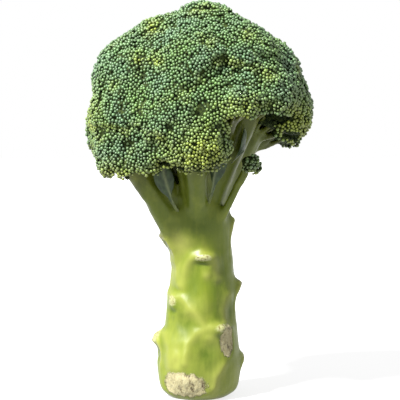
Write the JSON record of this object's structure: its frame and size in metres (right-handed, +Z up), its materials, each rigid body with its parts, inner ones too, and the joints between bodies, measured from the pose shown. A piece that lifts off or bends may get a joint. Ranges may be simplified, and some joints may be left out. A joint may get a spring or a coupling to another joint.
{
  "type": "broccoli head",
  "caption": "Fresh broccoli head standing on its cut stalk: a domed crown of tightly packed green buds on branches, with small leaves and leaf scars.",
  "frame": {"origin": "centre of the flat cut under the stalk, on the surface the head stands on", "axes": "+Z up along the stalk, -Y the front, +X the head's right as seen from the front"},
  "size_m": [0.1273, 0.1226, 0.2206],
  "materials": {
    "buds": "matte waxy green buds",
    "stalk_skin": "satin pale green skin",
    "branches": "satin green skin",
    "leaves": "matte dark green leaf"
  },
  "bodies": {
    "root": {"branch_back_left": "branches", "branch_back_left_upper": "branches", "branch_back_mid_left": "branches", "branch_back_mid_right": "branches", "branch_back_right": "branches", "branch_back_right_upper": "branches", "branch_back_upper": "branches", "branch_front": "branches", "branch_front_bud": "branches", "branch_front_left": "branches", "branch_front_right": "branches", "branch_front_right_upper": "branches", "branch_front_upper": "branches", "branch_left_back": "branches", "branch_left_hanging": "branches", "branch_left_lower": "branches", "branch_left_top": "branches", "branch_left_upper": "branches", "branch_right_lower": "branches", "branch_right_upper": "branches", "branch_side_shoot": "branches", "branch_top": "branches", "floret_back_left": "buds", "floret_back_left_upper": "buds", "floret_back_mid_left": "buds", "floret_back_mid_right": "buds", "floret_back_right": "buds", "floret_back_right_upper": "buds", "floret_back_upper": "buds", "floret_front": "buds", "floret_front_bud": "buds", "floret_front_left": "buds", "floret_front_right": "buds", "floret_front_right_upper": "buds", "floret_front_upper": "buds", "floret_left_back": "buds", "floret_left_hanging": "buds", "floret_left_lower": "buds", "floret_left_top": "buds", "floret_left_upper": "buds", "floret_right_lower": "buds", "floret_right_upper": "buds", "floret_side_shoot": "buds", "floret_top": "buds", "leaf_back": "leaves", "leaf_front": "leaves", "leaf_left": "leaves", "leaf_right": "leaves", "stalk": "stalk_skin"}
  },
  "joints": []
}
